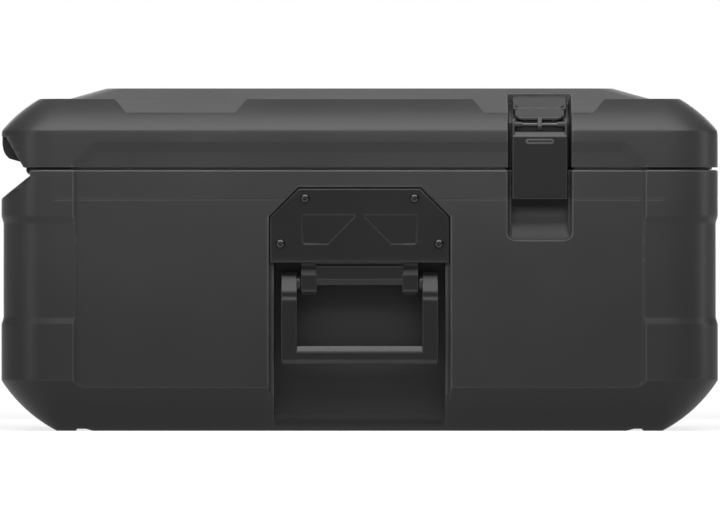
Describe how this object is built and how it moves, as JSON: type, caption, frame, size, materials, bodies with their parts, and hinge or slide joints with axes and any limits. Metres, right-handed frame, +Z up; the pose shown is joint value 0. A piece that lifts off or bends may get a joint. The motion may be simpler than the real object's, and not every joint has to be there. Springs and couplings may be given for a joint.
{
  "type": "cargo case",
  "caption": "Hard-shell cargo case with a rear-hinged lid, push-button lever latches and fold-out bail handles in side pockets.",
  "frame": {"origin": "on the floor under the middle of the case", "axes": "+X from the hinge to the front, +Y from the near side with its latch and handle to the far side, +Z up"},
  "size_m": [0.617, 0.52, 0.2952],
  "materials": {
    "shell": "fine-grained semi-matt moulding",
    "hardware": "smooth semi-matt moulding",
    "seal": "matt",
    "pin_steel": "drawn",
    "screw_steel": "dark oxide",
    "spring_steel": "drawn wire"
  },
  "bodies": {
    "base": {"base_floor": "shell", "base_rear": "shell", "base_front": "shell", "base_near_rear": "shell", "base_near_middle": "shell", "base_near_front": "shell", "base_far_rear": "shell", "base_far_middle": "shell", "base_far_front": "shell", "hinge_pin_near": "pin_steel", "hinge_pin_far": "pin_steel", "handle_bracket_near": "hardware", "handle_pins_near": "pin_steel", "handle_screws_near": "screw_steel", "handle_bracket_far": "hardware", "handle_pins_far": "pin_steel", "handle_screws_far": "screw_steel"},
    "lid": {"lid_shell": "shell", "lid_gasket": "seal", "latch_housing_near": "hardware", "latch_pin_near": "pin_steel", "latch_springs_near": "spring_steel", "latch_housing_far": "hardware", "latch_pin_far": "pin_steel", "latch_springs_far": "spring_steel"},
    "bail_near": {"handle_bail_near": "hardware"},
    "lever_near": {"latch_lever_near": "hardware"},
    "button_near": {"latch_button_near": "hardware"},
    "bail_far": {"handle_bail_far": "hardware"},
    "lever_far": {"latch_lever_far": "hardware"},
    "button_far": {"latch_button_far": "hardware"}
  },
  "joints": [
    {"name": "lid_hinge", "type": "hinge", "parent": "base", "child": "lid", "pos_m": [-0.2832, 0, 0.2251], "axis": [0, -1, 0], "range_deg": [0, 95]},
    {"name": "handle_near", "type": "hinge", "parent": "base", "child": "bail_near", "pos_m": [0, -0.244, 0.127], "axis": [-1, 0, 0], "range_deg": [0, 90]},
    {"name": "latch_near", "type": "hinge", "parent": "lid", "child": "lever_near", "pos_m": [0.1548, -0.2505, 0.2635], "axis": [-1, 0, 0], "range_deg": [0, 110]},
    {"name": "button_near", "type": "slide", "parent": "lid", "child": "button_near", "axis": [0, 0, -1], "range_m": [0, 0.0018], "stiffness_N_per_m": 400, "springref_m": -0.003, "deforming": ["latch_springs_near"]},
    {"name": "handle_far", "type": "hinge", "parent": "base", "child": "bail_far", "pos_m": [0, 0.244, 0.127], "axis": [1, 0, 0], "range_deg": [0, 90]},
    {"name": "latch_far", "type": "hinge", "parent": "lid", "child": "lever_far", "pos_m": [0.1548, 0.2505, 0.2635], "axis": [1, 0, 0], "range_deg": [0, 110]},
    {"name": "button_far", "type": "slide", "parent": "lid", "child": "button_far", "axis": [0, 0, -1], "range_m": [0, 0.0018], "stiffness_N_per_m": 400, "springref_m": -0.003, "deforming": ["latch_springs_far"]}
  ]
}
